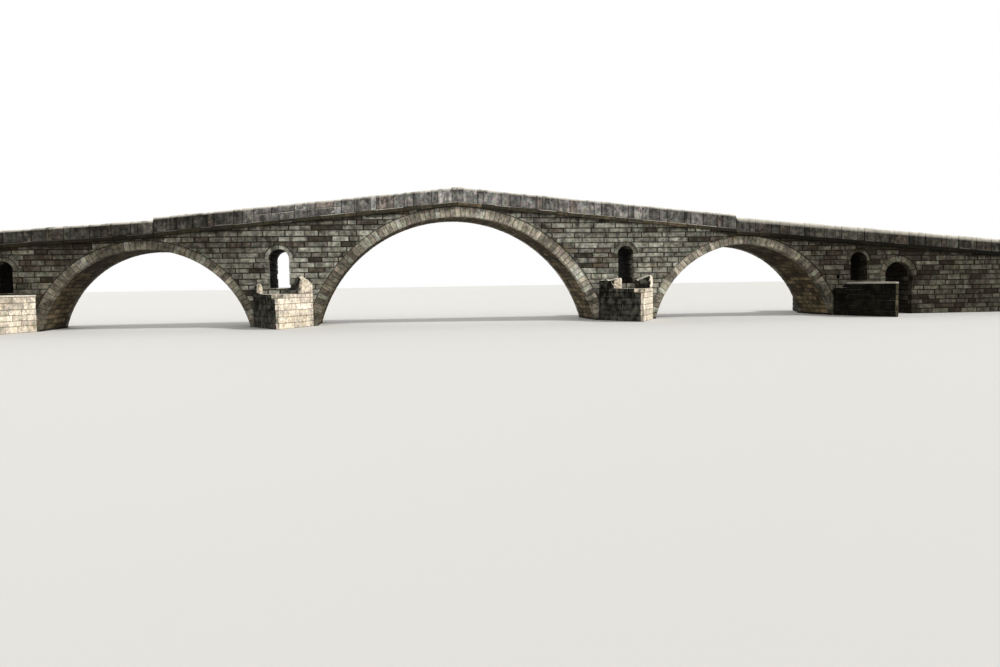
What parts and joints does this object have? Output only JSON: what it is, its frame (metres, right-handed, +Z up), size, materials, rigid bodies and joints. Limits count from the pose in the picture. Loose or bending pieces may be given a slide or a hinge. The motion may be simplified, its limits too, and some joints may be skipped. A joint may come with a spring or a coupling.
{
  "type": "stone arch bridge, 1:10 scale model",
  "caption": "Humped ashlar road bridge: round arches on pointed cutwaters, arched windows through the piers, and slab parapets on a projecting cornice.",
  "frame": {"origin": "On the base under the crown of the main arch, midway across the road: the centre of the bounding box's bottom face.", "axes": "+X along the road to the right as the picture shows it, -Y toward the camera, +Z up."},
  "size_m": [10, 1.566, 0.9713],
  "materials": {
    "ashlar": "weathered limestone ashlar",
    "cutwater_stone": "weathered limestone ashlar",
    "soffit_stone": "weathered limestone ashlar",
    "ring_stone": "weathered limestone ashlar",
    "cornice_stone": "weathered limestone ashlar",
    "parapet_stone": "weathered limestone ashlar",
    "paving_stone": "weathered limestone ashlar"
  },
  "bodies": {
    "root": {"pier_left_outer": "ashlar", "pier_left_inner": "ashlar", "pier_right_inner": "ashlar", "pier_right_outer": "ashlar", "abutment_left": "ashlar", "abutment_right": "ashlar", "main_arch_barrel": "soffit_stone", "left_arch_barrel": "soffit_stone", "right_arch_barrel": "soffit_stone", "left_end_barrel": "soffit_stone", "right_end_barrel": "soffit_stone", "main_arch_ring": "ring_stone", "left_arch_ring": "ring_stone", "right_arch_ring": "ring_stone", "left_end_ring": "ring_stone", "right_end_ring": "ring_stone", "window_ring_left_outer": "ring_stone", "window_ring_left_inner": "ring_stone", "window_ring_right_inner": "ring_stone", "window_ring_right_outer": "ring_stone", "cutwater_front_left_outer": "cutwater_stone", "cutwater_front_left_inner": "cutwater_stone", "cutwater_front_right_inner": "cutwater_stone", "cutwater_front_right_outer": "cutwater_stone", "cutwater_back_left_outer": "cutwater_stone", "cutwater_back_left_inner": "cutwater_stone", "cutwater_back_right_inner": "cutwater_stone", "cutwater_back_right_outer": "cutwater_stone", "cap_remains_left": "cutwater_stone", "cap_remains_right": "cutwater_stone", "cornice_left_ramp": "cornice_stone", "cornice_hump": "cornice_stone", "cornice_right_ramp": "cornice_stone", "parapet_front_left_ramp": "parapet_stone", "parapet_front_hump": "parapet_stone", "parapet_front_right_ramp": "parapet_stone", "parapet_back_left_ramp": "parapet_stone", "parapet_back_hump": "parapet_stone", "parapet_back_right_ramp": "parapet_stone", "road_left_ramp": "paving_stone", "road_hump": "paving_stone", "road_right_ramp": "paving_stone"}
  },
  "joints": []
}
